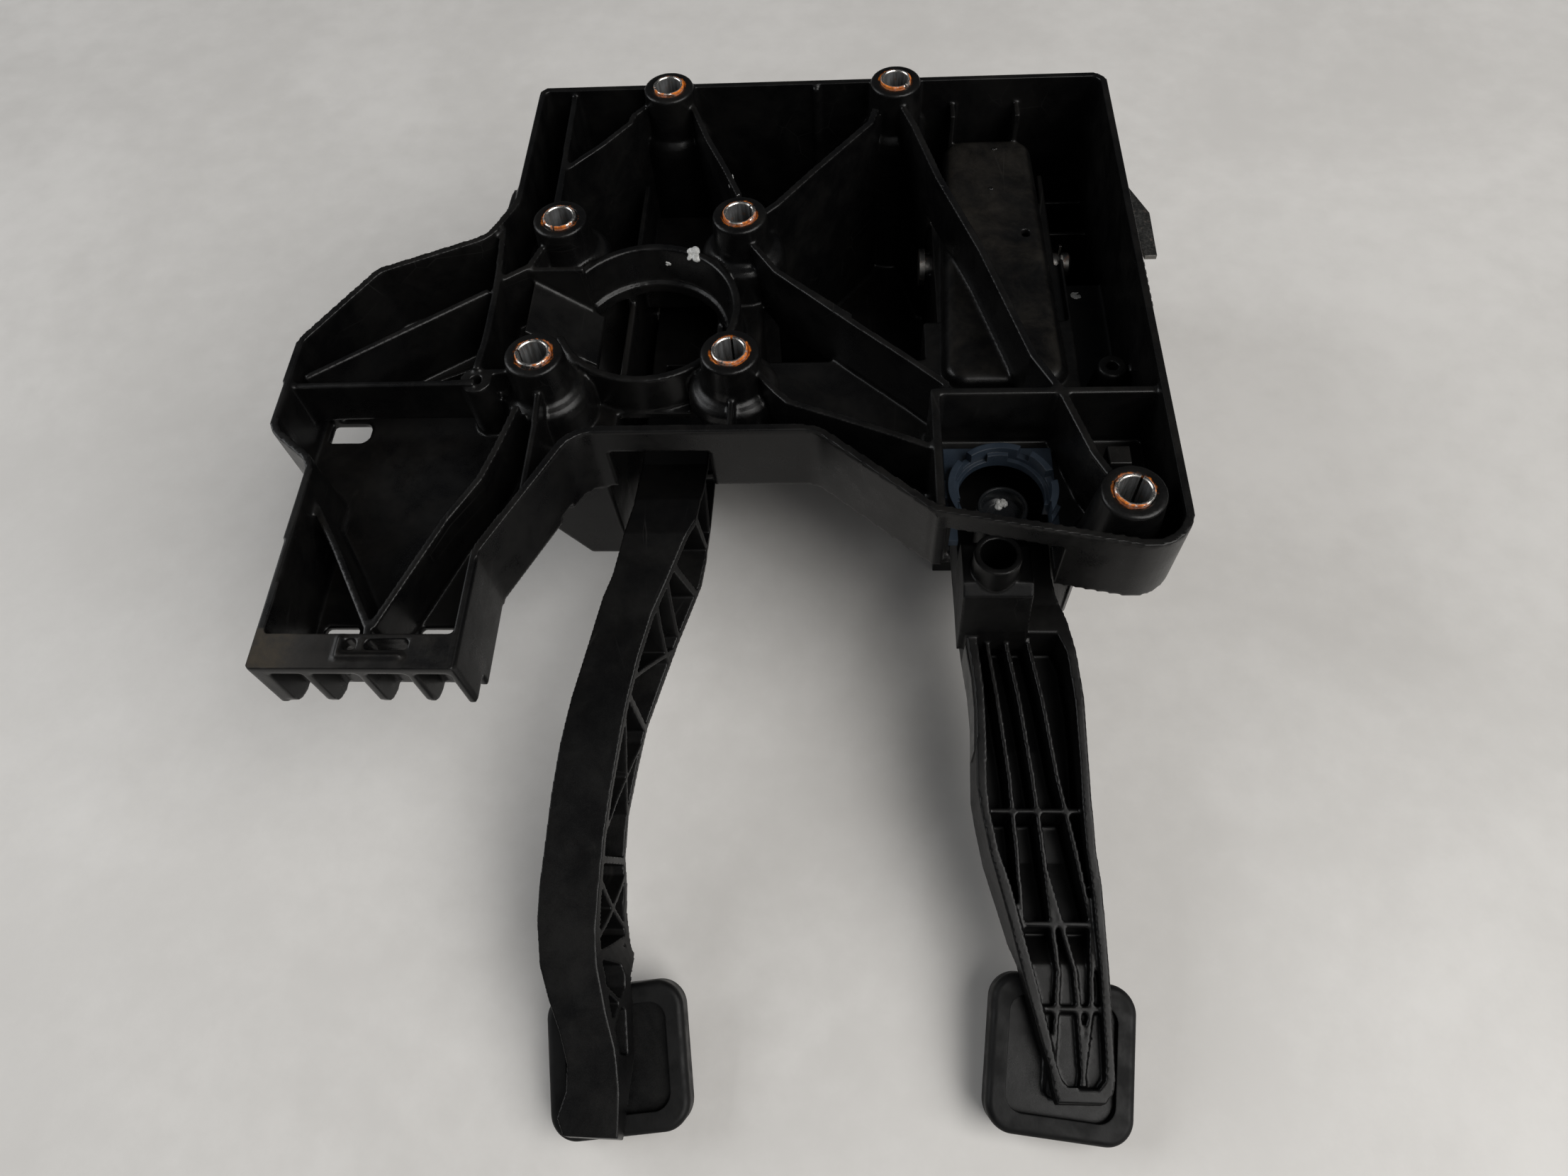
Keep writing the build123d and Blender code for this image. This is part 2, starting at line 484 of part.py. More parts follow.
brake_pad_rubber = pad_rubber("brake_pad_rubber", BRAKE_PAD)
clutch_pad_rubber = pad_rubber("clutch_pad_rubber", CLUTCH_PAD)

# ================================================================ brake arm
B_TOP = [(68, -68), (20, -60), (-42, -60), (-66, -50.5), (-82, -50), (-110, -57), (-150, -68),
         (-200, -85), (-240, -98), (-262, -105), (-284.5, -111)]
B_BOT = [(-284.5, -120.9), (-232, -108.8), (-224, -114), (-200, -111.5), (-150, -96), (-110, -86),
         (-72, -80), (-36, -84), (20, -88), (68, -92)]
B_LEFT = [(-7.5, 74), (-5.5, 20), (-5.0, -40), (-4.2, -68), (-7.0, -84), (-10, -98), (-13, -106), (-17.8, -124.8),
          (-22.5, -143), (-25.8, -159.4), (-28, -176), (-29.3, -192.3), (-30.5, -206), (-30.6, -217), (-28.7, -231.7),
          (-25, -242), (-20.5, -252), (-17.2, -262), (-17.0, -270), (-19.5, -278), (-17, -283.4)]
B_RIGHT = [(1.6, -283.9), (1.2, -265.6), (-0.7, -257.7), (-5.0, -245), (-8.3, -234), (-9.6, -220), (-9.2, -208),
           (-8.6, -195), (-7.2, -180.6), (-4.1, -159.2), (-1.4, -142), (1.6, -127.6), (5.6, -113), (10.4, -101.1), (16, -86),
           (20.4, -75.7), (22.0, -68.1), (22.0, -40), (21.5, 20), (21.5, 74)]


# right edge of the lower flange, wider than the top one
B_LOWER = [(22.0, 74), (22.0, -68), (21.4, -76), (19.8, -87.4), (11.4, -112.1), (1.2, -143.3), (-4.4, -172.9),
           (-5.2, -188.6), (-3.2, -209.3), (1.2, -230.7), (4.4, -256.8), (2.8, -270.6), (1.6, -284.5)]
# lattice ribs as (Y at the top flange, Y at the lower flange, thickness)
B_RIBS = [(33, 12, 2.2), (-9, 12, 2.2), (-9, -30, 2.2), (-51, -30, 2.2), (-51, -64, 2.0), (-74.3, -70.7, 2.4),
          (-94.3, -90.8, 2.6), (-99.4, -109.6, 1.5), (-108.1, -120.2, 1.4), (-136.5, -112.6, 2.2), (-141.5, -144.5, 2.4),
          (-146.5, -178, 1.4), (-190.6, -146, 1.6), (-197.4, -191.2, 2.6), (-202.7, -216.5, 1.8), (-224.5, -194.4, 1.8),
          (-228.4, -217.5, 2.4), (-236, -245, 1.5), (-254, -232.5, 1.6)]


def at(line, y):
    """Height, or X, of a polyline at Y."""
    s = sorted(line)
    for (ya, va), (yb, vb) in zip(s, s[1:]):
        if ya <= y <= yb:
            return va + (vb - va) * (y - ya) / (yb - ya)
    return s[0][1] if y < s[0][0] else s[-1][1]


def by_y(line):
    return [(y, x) for x, y in line]


with BuildPart() as brake_arm:
    side(B_TOP + B_BOT, -60, 60)
    prism(B_LEFT + [(60, -284.5), (60, 74)], -140, -30, mode=Mode.INTERSECT)
    # right side, slanting from the top flange out to the lower flange
    with BuildPart(mode=Mode.PRIVATE) as flare:
        for y in (75, 0, -60, -75.7, -87, -100, -113, -127.6, -143, -159, -175, -190, -209, -220, -232, -245, -257,
                  -270, -285):
            zt, zb = at(B_TOP, y), at(B_BOT, y)
            xt, xb = at(by_y(B_RIGHT), y), at(by_y(B_LOWER), y)
            k = (xt - xb) / (zt - zb)
            pl = Plane(origin=(0, y, 0), x_dir=(1, 0, 0), z_dir=(0, -1, 0))
            with BuildSketch(pl):
                with BuildLine():
                    Polyline((-60, zt + 6), (xt + 6 * k, zt + 6), (xb - 6 * k, zb - 6), (-60, zb - 6), close=True)
                make_face()
        loft(ruled=True)
    add(flare.part, mode=Mode.INTERSECT)
    # open side with its lattice, left wall kept
    TW, BW = 3.0, 3.0
    with BuildPart(mode=Mode.PRIVATE) as pocket:
        side([(y, z - TW) for y, z in B_TOP if -224 < y < 45] + [(-226, -96.5)]
             + [(-222, -110)] + [(y, z + BW) for y, z in B_BOT if -220 < y < 45], -60, 60)
        prism([(x + 3.4, y) for x, y in B_LEFT if y < 45] [:-4]
              + [(60, -250), (60, 44)], -140, -30, mode=Mode.INTERSECT)
        for yt, yb, t in B_RIBS:
            side(strip([(yt, at(B_TOP, yt)), (yb, at(B_BOT, yb))], t), -60, 60, mode=Mode.SUBTRACT)
    add(pocket.part, mode=Mode.SUBTRACT)
    # shallow bays beside the pad
    with BuildPart(mode=Mode.PRIVATE) as shallow:
        side([(-229, -97.4), (-240, -101), (-258, -106.7), (-258, -110.6), (-240, -107.6), (-229, -105.6)], -60, 60)
        prism([(-12.4, -226), (-11.2, -232), (-8.2, -245), (-3.6, -258), (60, -258), (60, -226)], -140, -30,
              mode=Mode.INTERSECT)
        for yt, yb, t in B_RIBS:
            side(strip([(yt, at(B_TOP, yt)), (yb, at(B_BOT, yb))], t), -60, 60, mode=Mode.SUBTRACT)
    add(shallow.part, mode=Mode.SUBTRACT)
    # hub
    xrod(*BRAKE_PIVOT, HUB_R, *BRAKE_HUB_X)
    block(-40, BRAKE_HUB_X[0], 30, 90, -120, -40, mode=Mode.SUBTRACT)
    block(BRAKE_HUB_X[1], 60, 30, 90, -120, -40, mode=Mode.SUBTRACT)
    xrod(*BRAKE_PIVOT, BUSH_OR + 0.01, -20, 40, mode=Mode.SUBTRACT)
    # push-rod clevis: boss, pocket under the booster opening and pin hole
    xrod(0, -72, 9.6, -5.0, 21.6)
    block(0.5, 12.5, -13, 11, -82.3, -40, mode=Mode.SUBTRACT)
    xrod(0, -72, 5.02, -20, 40, mode=Mode.SUBTRACT)
    # pad plate and the neck that carries it
    plb = pad_plane(BRAKE_PAD)
    with BuildSketch(plb.offset(-6.9)) as plate:
        RectangleRounded(BRAKE_PAD["w"] - 6.2, BRAKE_PAD["h"] - 6.2, 7.4)
    extrude(plate.sketch, amount=3.8)
    with BuildSketch(plb.offset(-5.0)) as neck:
        with Locations((-7.0, 0)):
            RectangleRounded(17, BRAKE_PAD["h"] - 16, 3)
    extrude(neck.sketch, amount=8.5)
brake_arm.part.label = "brake_arm"
export_step(brake_arm.part, "parts/brake_arm.step")

# clevis pin across the brake arm
with BuildPart() as brake_clevis_pin:
    xrod(0, -72, 5.0, -5.4, 23.9)
    xrod(0, -72, 7.0, -7.1, -5.4)
    with BuildSketch(Plane.YZ.offset(22.0)) as cg:
        with Locations((0, -72)):
            Circle(6)
            Circle(4.0, mode=Mode.SUBTRACT)
    extrude(cg.sketch, amount=1.2, mode=Mode.SUBTRACT)
brake_clevis_pin.part.label = "brake_clevis_pin"
export_step(brake_clevis_pin.part, "parts/brake_clevis_pin.step")

with BuildPart() as clevis_clip:
    with BuildSketch(Plane.YZ.offset(22.1)):
        with Locations((0, -72)):
            Circle(7.6)
            Circle(4.05, mode=Mode.SUBTRACT)
        with Locations((0, -66)):
            Rectangle(4.6, 12, mode=Mode.SUBTRACT)
    extrude(amount=1.0)
clevis_clip.part.label = "clevis_clip"
export_step(clevis_clip.part, "parts/clevis_clip.step")

# ================================================================ clutch arm
C_TOP = [(62, -36), (30, -44), (-28, -57), (-66, -66), (-100, -74), (-115, -75.5), (-140, -79), (-165, -84),
         (-190, -90), (-215, -97), (-240, -103.5), (-262, -109), (-269.5, -111)]
C_BOT = [(-269.5, -118.6), (-226, -108.6), (-218, -114), (-190, -112.5), (-150, -104), (-110, -98), (-66, -90),
         (-28, -80), (30, -66), (62, -57)]
C_LEFT = [(124, 70), (121.5, 0), (120.5, -60), (121.5, -88.4), (121.8, -94.6), (123.6, -113.8), (125.3, -128),
          (125.8, -141.3), (125.2, -156), (124.9, -167.8), (126.1, -176.8), (128.6, -190.7), (131.8, -203),
          (135, -215.3), (139.2, -233.6), (143.6, -250.9), (146.2, -259.4), (146.6, -264.1), (148, -269.4)]
C_RIGHT = [(163.8, -269.3), (166.6, -266), (167.4, -262.5), (167.7, -251.5), (168, -240), (167.9, -227.1), (167.2, -201.8),
           (165.9, -190.2), (165.5, -172.3), (165.5, -154.9), (165.6, -136.6), (164.2, -118.5), (161.8, -106),
           (158.3, -96), (157, -88), (156.5, -60), (156, 0), (156, 70)]
C_IN = [(127.4, -111.5), (129.1, -131.7), (129.2, -151.6), (128.8, -168), (129.2, -176), (132, -190.6), (135.8, -202.2),
        (142.9, -231.3), (146.8, -249.1), (148, -256.2), (149.8, -262), (152, -264.5), (162, -264.8), (164.3, -262),
        (164.7, -251.5), (164.9, -233.1), (163.7, -201.8), (162.5, -190.3), (162, -175), (162.2, -158.5),
        (162, -136.6), (160.6, -119), (157.6, -111.5)]

with BuildPart() as clutch_arm:
    side(C_TOP + C_BOT, 90, 190)
    prism(C_LEFT + C_RIGHT, -140, -30, mode=Mode.INTERSECT)
    with BuildPart(mode=Mode.PRIVATE) as channel:
        side([(-108, -60), (-108, -93.5), (-150, -99.5), (-190, -108), (-214, -109.5), (-226, -105.2),
              (-268, -115.4), (-268, -60)], 90, 190)
        prism(C_IN, -140, -30, mode=Mode.INTERSECT)
    add(channel.part, mode=Mode.SUBTRACT)
    # ribs in the channel
    with BuildPart(mode=Mode.PRIVATE) as ribs:
        for pts in ([(131.0, -108), (134.0, -132), (137.3, -164), (138.6, -190), (139.5, -220)],
                    [(138.0, -108), (142.2, -134), (145.7, -164), (148.4, -196), (151.0, -229), (148.6, -249), (147, -262)],
                    [(146.3, -108), (150.8, -134), (154.6, -164), (159.4, -190), (163.4, -214), (161.8, -237.6),
                     (156.3, -266)]):
            prism(strip(pts, 1.8), -140, -30)
        prism(strip([(148.4, -196), (156.8, -229), (157.5, -266)], 1.8), -140, -30)
        prism(strip([(120, -176), (170, -175.6)], 1.9), -140, -30)
        prism(strip([(120, -214), (170, -213.6)], 1.9), -140, -30)
        prism(strip([(120, -240.8), (170, -240.4)], 1.9), -140, -30)
        side([(-108, -78), (-115, -79.5), (-140, -83), (-165, -88), (-190, -93), (-215, -99.3), (-240, -105.4),
              (-262, -110.6), (-269, -112.4), (-269, -125), (-108, -110)], 90, 190, mode=Mode.INTERSECT)
        prism(C_LEFT + C_RIGHT, -140, -30, mode=Mode.INTERSECT)
        side([(y, z + 1) for y, z in C_BOT] + [(62, 0), (-269.5, 0)], 90, 190, mode=Mode.INTERSECT)
    add(ribs.part)
    # upper part hollowed from below, with cross ribs
    with BuildPart(mode=Mode.PRIVATE) as hollow:
        side([(38, -80), (38, -49), (30, -50.5), (-28, -62), (-28, -95)], 90, 190)
        side([(-54, -100), (-54, -66), (-66, -70), (-82, -73.5), (-82, -110)], 90, 190)
        prism([(125.2, 45), (124.2, 0), (123.8, -60), (124.6, -90), (153.6, -90), (153.2, -60), (152.8, 0), (152.8, 45)],
              -140, -30, mode=Mode.INTERSECT)
        for (ya, za), (yb, zb) in (((38, -49), (16, -80)), ((16, -80), (-4, -54)), ((-4, -54), (-28, -92))):
            side(strip([(ya, za), (yb, zb)], 2.4), 90, 190, mode=Mode.SUBTRACT)
        block(137.4, 139.8, -95, 50, -140, -30, mode=Mode.SUBTRACT)
    add(hollow.part, mode=Mode.SUBTRACT)
    # hub
    xrod(*CLUTCH_PIVOT, HUB_R, *CLUTCH_HUB_X)
    block(100, CLUTCH_HUB_X[0], 30, 80, -90, -20, mode=Mode.SUBTRACT)
    xrod(*CLUTCH_PIVOT, BUSH_OR + 0.01, 110, 170, mode=Mode.SUBTRACT)
    # raised saddle inside the cut-out of the front wall, with its tube
    side([(-85.5, -85), (-85.5, -52), (-88, -50), (-104, -50), (-108, -53.5), (-112.6, -72), (-113.5, -85)],
         120.5, 146.0)
    zrod(132.3, -98, 8.7, -60, -40)
    zrod(132.3, -98, 6.3, -62, -39, mode=Mode.SUBTRACT)
    # post of the ball socket
    zrod(135.0, -78.6, 8.4, -80, -46)
    zrod(135.0, -78.6, 7.02, -52, -40, mode=Mode.SUBTRACT)
    # pad plate and neck
    plc = pad_plane(CLUTCH_PAD)
    with BuildSketch(plc.offset(-6.9)) as cplate:
        RectangleRounded(CLUTCH_PAD["w"] - 6.2, CLUTCH_PAD["h"] - 6.2, 7.4)
    extrude(cplate.sketch, amount=3.8)
    with BuildSketch(plc.offset(-5.0)) as cneck:
        with Locations((3.6, 2.0)):
            RectangleRounded(18, CLUTCH_PAD["h"] - 22, 3)
    extrude(cneck.sketch, amount=6.6)
clutch_arm.part.label = "clutch_arm"
export_step(clutch_arm.part, "parts/clutch_arm.step")

# greased ball socket of the clutch rod
with BuildPart() as rod_socket:
    spin([(0, -52), (7.0, -52), (7.0, -46), (9.4, -46), (9.4, -39.4), (8.9, -38.6), (8.1, -38.6), (7.6, -39.4),
          (7.0, -43.2), (5.4, -44.4), (3.0, -44.9), (0, -45)], 135.0, -78.6)
rod_socket.part.label = "rod_socket"
export_step(rod_socket.part, "parts/rod_socket.step")

# blank label on the left side of the clutch arm
with BuildPart() as arm_label:
    with BuildPart(mode=Mode.PRIVATE) as lab:
        prism(strip([(123.3, -115), (125.0, -128), (125.5, -141.3), (124.9, -156)], 0.4), -140, -30)
        side([(-115, -79), (-140, -82), (-155, -85), (-155, -98), (-140, -98), (-115, -94)], 90, 190,
             mode=Mode.INTERSECT)
    add(lab.part)
arm_label.part.label = "arm_label"
export_step(arm_label.part, "parts/arm_label.step")

# ================================================================ fixed small pieces
with BuildPart() as bayonet_adapter:
    # square flange, open to the front for the rod
    prism([(113.6, -99), (152.8, -99), (152.8, -58.6), (113.6, -58.6)], FLOOR_T, FLOOR_T + 3)
    with BuildSketch(Plane.XY.offset(FLOOR_T + 3)) as ring:
        with Locations((133.4, -79.6)):
            Circle(19.4)
            Circle(16.9, mode=Mode.SUBTRACT)
    extrude(ring.sketch, amount=5.5)
    # bayonet lugs inside the ring
    for a in (92, 178, 330):
        with BuildSketch(Plane.XY.offset(FLOOR_T + 2.5)) as lug:
            with Locations(Location((133.4, -79.6), a)):
                with Locations((17.6, 0)):
                    Rectangle(6.4, 7.5)
        extrude(lug.sketch, amount=3.6)
    zrod(133.4, -79.6, 15.4, FLOOR_T - 1, -20, mode=Mode.SUBTRACT)
    block(117, 149.6, -110, -86, FLOOR_T - 1, -20, mode=Mode.SUBTRACT)
    for a in (60, 135, 15):
        with BuildSketch(Plane.XY.offset(FLOOR_T + 4.5)) as slot:
            with Locations(Location((133.4, -79.6), a)):
                with Locations((18.2, 0)):
                    Rectangle(5, 4.5)
        extrude(slot.sketch, amount=8, mode=Mode.SUBTRACT)
bayonet_adapter.part.label = "bayonet_adapter"
export_step(bayonet_adapter.part, "parts/bayonet_adapter.step")

with BuildPart() as brake_stop_buffer:
    block(0, 14, 4.6, 10.4, -98, -88.2)
    fillet(brake_stop_buffer.edges().filter_by(Axis.X).sort_by(Axis.Z)[-2:], 1.5)
brake_stop_buffer.part.label = "brake_stop_buffer"
export_step(brake_stop_buffer.part, "parts/brake_stop_buffer.step")

with BuildPart() as clutch_stop_buffer:
    block(132, 148, -47.4, -41.6, -95, -85.6)
    fillet(clutch_stop_buffer.edges().filter_by(Axis.X).sort_by(Axis.Z)[-2:], 1.5)
clutch_stop_buffer.part.label = "clutch_stop_buffer"
export_step(clutch_stop_buffer.part, "parts/clutch_stop_buffer.step")

# bent steel bracket on the right wall
with BuildPart() as side_bracket:
    block(190, 192, 54, 98, -62, -36)
    prism([(191, 98), (203, 99), (211, 79), (210.4, 52.5), (205.4, 52.5), (203.8, 64), (197, 66), (191, 66)],
          -43.4, -41.4)
    block(191.9, 194.9, 90, 94, -60, -42)
side_bracket.part.label = "side_bracket"
export_step(side_bracket.part, "parts/side_bracket.step")

# plastic strip with teeth below it
with BuildPart() as notched_rail:
    block(190, 202.6, 22, 50, -45, -41)
    for i in range(6):
        block(202, 204.4, 23 + 4.6 * i, 25.4 + 4.6 * i, -45, -41)
    block(190, 193, 22, 50, -56, -40)
notched_rail.part.label = "notched_rail"
export_step(notched_rail.part, "parts/notched_rail.step")
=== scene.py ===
import bmesh
import bpy
import math
import random
import numpy as np
from mathutils import Matrix, Vector, noise


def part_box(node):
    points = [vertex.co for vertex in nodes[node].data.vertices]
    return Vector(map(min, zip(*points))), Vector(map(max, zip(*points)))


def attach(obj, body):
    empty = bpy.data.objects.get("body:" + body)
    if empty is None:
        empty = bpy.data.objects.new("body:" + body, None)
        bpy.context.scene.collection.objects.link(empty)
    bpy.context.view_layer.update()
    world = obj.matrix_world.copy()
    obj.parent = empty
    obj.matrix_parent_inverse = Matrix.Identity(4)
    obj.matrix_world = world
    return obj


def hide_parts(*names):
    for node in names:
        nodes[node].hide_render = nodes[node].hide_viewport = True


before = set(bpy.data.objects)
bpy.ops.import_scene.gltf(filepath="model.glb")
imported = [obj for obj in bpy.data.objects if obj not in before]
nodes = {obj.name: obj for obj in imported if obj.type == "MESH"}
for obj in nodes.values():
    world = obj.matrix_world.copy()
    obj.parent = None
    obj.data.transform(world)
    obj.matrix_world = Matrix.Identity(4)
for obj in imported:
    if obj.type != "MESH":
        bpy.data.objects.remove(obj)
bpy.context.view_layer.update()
scene = bpy.context.scene
random.seed(11)

FLOOR_Z = -0.135


# ------------------------------------------------------------------ materials
class Mat:
    """A small helper for node materials."""

    def __init__(self, name):
        self.m = bpy.data.materials.new(name)
        self.m.use_nodes = True
        self.t = self.m.node_tree
        self.t.nodes.clear()
        self.out = self.t.nodes.new("ShaderNodeOutputMaterial")
        self.b = self.t.nodes.new("ShaderNodeBsdfPrincipled")
        self.t.links.new(self.b.outputs[0], self.out.inputs["Surface"])
        self.tc = self.t.nodes.new("ShaderNodeTexCoord")
        self.geo = self.t.nodes.new("ShaderNodeNewGeometry")

    def link(self, a, b):
        self.t.links.new(a, b)

    def put(self, socket, value):
        if isinstance(value, bpy.types.NodeSocket):
            self.link(value, socket)
        elif hasattr(socket, "default_value"):
            if isinstance(value, (tuple, list)) and len(value) == 3 and socket.type == "RGBA":
                value = (*value, 1)
            socket.default_value = value

    def scaled(self, sx, sy=None, sz=None, loc=(0, 0, 0), rot=(0, 0, 0)):
        n = self.t.nodes.new("ShaderNodeMapping")
        self.link(self.tc.outputs["Object"], n.inputs[0])
        n.inputs["Scale"].default_value = (sx, sy or sx, sz or sx)
        n.inputs["Location"].default_value = loc
        n.inputs["Rotation"].default_value = rot
        return n.outputs[0]

    def noise(self, scale, detail=3, rough=0.5, dist=0.0, vec=None, out="Fac"):
        n = self.t.nodes.new("ShaderNodeTexNoise")
        self.link(vec or self.tc.outputs["Object"], n.inputs["Vector"])
        n.inputs["Scale"].default_value = scale
        n.inputs["Detail"].default_value = detail
        n.inputs["Roughness"].default_value = rough
        n.inputs["Distortion"].default_value = dist
        return n.outputs[out]

    def voronoi(self, scale, feature="F1", vec=None, out="Distance", rand=1.0):
        n = self.t.nodes.new("ShaderNodeTexVoronoi")
        n.feature = feature
        self.link(vec or self.tc.outputs["Object"], n.inputs["Vector"])
        n.inputs["Scale"].default_value = scale
        n.inputs["Randomness"].default_value = rand
        return n.outputs[out]

    def ramp(self, fac, a, b, lo=0.0, hi=1.0, smooth=True):
        n = self.t.nodes.new("ShaderNodeMapRange")
        n.interpolation_type = "SMOOTHSTEP" if smooth else "LINEAR"
        self.put(n.inputs["Value"], fac)
        n.inputs["From Min"].default_value = a
        n.inputs["From Max"].default_value = b
        n.inputs["To Min"].default_value = lo
        n.inputs["To Max"].default_value = hi
        return n.outputs[0]

    def math(self, op, a, b=None, c=None, clamp=False):
        n = self.t.nodes.new("ShaderNodeMath")
        n.operation = op
        n.use_clamp = clamp
        for s, v in zip(n.inputs, (a, b, c)):
            if v is not None:
                self.put(s, v)
        return n.outputs[0]

    def mix(self, fac, a, b, mode="MIX"):
        n = self.t.nodes.new("ShaderNodeMix")
        n.data_type = "RGBA"
        n.blend_type = mode
        self.put(n.inputs[0], fac)
        self.put(n.inputs[6], a)
        self.put(n.inputs[7], b)
        return n.outputs[2]

    def xyz(self, vec=None):
        n = self.t.nodes.new("ShaderNodeSeparateXYZ")
        self.link(vec or self.tc.outputs["Object"], n.inputs[0])
        return n.outputs

    def attr(self, name):
        n = self.t.nodes.new("ShaderNodeAttribute")
        n.attribute_name = name
        return n.outputs["Fac"]

    def bevel(self, radius, samples=4):
        n = self.t.nodes.new("ShaderNodeBevel")
        n.samples = samples
        n.inputs["Radius"].default_value = radius
        return n.outputs[0]

    def bump(self, height, strength, dist, normal=None):
        n = self.t.nodes.new("ShaderNodeBump")
        self.put(n.inputs["Height"], height)
        n.inputs["Strength"].default_value = strength
        n.inputs["Distance"].default_value = dist
        if normal is not None:
            self.link(normal, n.inputs["Normal"])
        return n.outputs[0]

    def up(self):
        """How far the surface faces +Z, 0 to 1."""
        s = self.xyz(self.tc.outputs["Normal"])
        return self.math("MAXIMUM", s[2], 0.0)


def span(m, v, lo, hi, soft):
    """1 where v lies between lo and hi, with soft ends."""
    return m.math("MULTIPLY", m.ramp(v, lo - soft, lo + soft), m.ramp(v, hi + soft, hi - soft))


def bolt_radius(m, s):
    """Distance of a place from the nearest of the seven bolt axes, in metres."""
    groups = (((0, 0), (0.036, 0.036)), ((0.05025, 0.118), (0.04925, 0.0)), ((0.171, -0.0987), (0.0, 0.0)))
    best = None
    for (cx, cy), (ax, ay) in groups:
        dx = m.math("SUBTRACT", m.math("ABSOLUTE", m.math("SUBTRACT", s[0], cx)), ax)
        dy = m.math("SUBTRACT", m.math("ABSOLUTE", m.math("SUBTRACT", s[1], cy)), ay)
        d = m.math("SQRT", m.math("ADD", m.math("MULTIPLY", dx, dx), m.math("MULTIPLY", dy, dy)))
        best = d if best is None else m.math("MINIMUM", best, d)
    return best


def plastic(name, base=(0.0017, 0.0017, 0.0019), light=(0.0050, 0.0048, 0.0046), rough=(0.24, 0.42),
            dust=0.05, dust_col=(0.060, 0.050, 0.037), soft=0.0006, grain=2600, gloss=0.25, masks=False):
    m = Mat(name)
    big = m.noise(14, 4, 0.6, 0.6)
    mid = m.noise(70, 5, 0.65, 0.3)
    fine = m.noise(grain, 2, 0.5)
    cloud = m.ramp(m.math("MULTIPLY_ADD", mid, 0.5, m.math("MULTIPLY", big, 0.5)), 0.36, 0.66)
    col = m.mix(cloud, base, light)
    # pale dry streaks left by handling
    streak = m.ramp(m.noise(36, 6, 0.75, 1.2, vec=m.scaled(1, 0.35, 1, rot=(0, 0, 0.5))), 0.60, 0.76)
    col = m.mix(m.math("MULTIPLY", streak, 0.20), col, (0.032, 0.030, 0.028))
    # scratches
    sc = m.voronoi(60, "DISTANCE_TO_EDGE", vec=m.scaled(1, 0.08, 1, rot=(0.3, 0.2, 0.9)))
    scr = m.math("MULTIPLY", m.ramp(sc, 0.010, 0.0), m.ramp(m.noise(22, 3), 0.54, 0.68))
    col = m.mix(m.math("MULTIPLY", scr, 0.10), col, (0.085, 0.083, 0.080))
    # dust lies on what faces up
    up = m.ramp(m.up(), 0.75, 0.98)
    patch = m.ramp(m.noise(26, 6, 0.7, 0.8), 0.40, 0.72)
    amount = m.math("MULTIPLY", m.math("MULTIPLY", up, patch), dust)
    if masks:
        s = m.xyz()
        grime = m.ramp(m.noise(55, 7, 0.72, 0.4), 0.34, 0.68)
        dome = m.math("MULTIPLY", m.math("MULTIPLY", span(m, s[2], -0.0300, -0.0240, 0.0006), span(m, s[0], 0.113, 0.166, 0.002)),
                      span(m, s[1], -0.034, 0.118, 0.004))
        ledge = m.math("MULTIPLY", m.ramp(s[2], -0.0062, -0.0052), m.math("MULTIPLY", m.ramp(s[1], -0.1472, -0.1482), m.ramp(s[0], -0.090, -0.100, 0.14, 1.0)))
        extra = m.math("MULTIPLY", m.math("ADD", m.math("MULTIPLY", dome, 0.13), m.math("MULTIPLY", ledge, 0.66)), m.math("MULTIPLY", up, grime))
        amount = m.math("ADD", amount, extra, clamp=True)
    col = m.mix(amount, col, dust_col)
    if masks:
        # rust that the sleeves have left on the boss tops
        rad = m.math("ADD", bolt_radius(m, s), m.math("MULTIPLY", m.math("SUBTRACT", m.noise(260, 5, 0.7), 0.5), 0.0030))
        rust = m.math("MULTIPLY", m.math("MULTIPLY", m.ramp(rad, 0.0078, 0.0070), m.ramp(s[2], -0.0022, -0.0014)),
                      m.ramp(m.noise(95, 4, 0.6), 0.46, 0.56), clamp=True)
        col = m.mix(rust, col, m.mix(m.ramp(m.noise(700, 5), 0.35, 0.65), (0.62, 0.17, 0.012), (0.26, 0.062, 0.008)))
        # lighter convex edges: real scuffs, plus a painted highlight that is strongest on the top rims and fainter
        # deeper down
        edge_wear_and_highlight = m.math("MULTIPLY", m.attr("edge_wear_and_highlight"), m.ramp(m.noise(160, 5, 0.7), 0.46, 0.66), clamp=True)
        col = m.mix(m.math("MULTIPLY", edge_wear_and_highlight, 0.6), col, (0.055, 0.053, 0.051))
    m.put(m.b.inputs["Base Color"], col)
    r = m.ramp(m.math("MULTIPLY_ADD", mid, 0.6, m.math("MULTIPLY", fine, 0.4)), 0.30, 0.70, rough[0], rough[1])
    r = m.math("ADD", r, m.math("MULTIPLY", amount, 1.1), clamp=True)
    m.put(m.b.inputs["Roughness"], r)
    m.b.inputs["Specular IOR Level"].default_value = gloss
    m.b.inputs["IOR"].default_value = 1.5
    base_n = m.bevel(soft) if soft else None
    h = m.math("MULTIPLY_ADD", fine, 0.5, m.math("MULTIPLY", m.noise(520, 4, 0.6), 0.9))
    n1 = m.bump(h, 0.20, 0.00012, base_n)
    wave = m.noise(42, 2, 0.5)
    n2 = m.bump(wave, 0.30, 0.0009, n1)
    m.put(m.b.inputs["Normal"], n2)
    return m.m


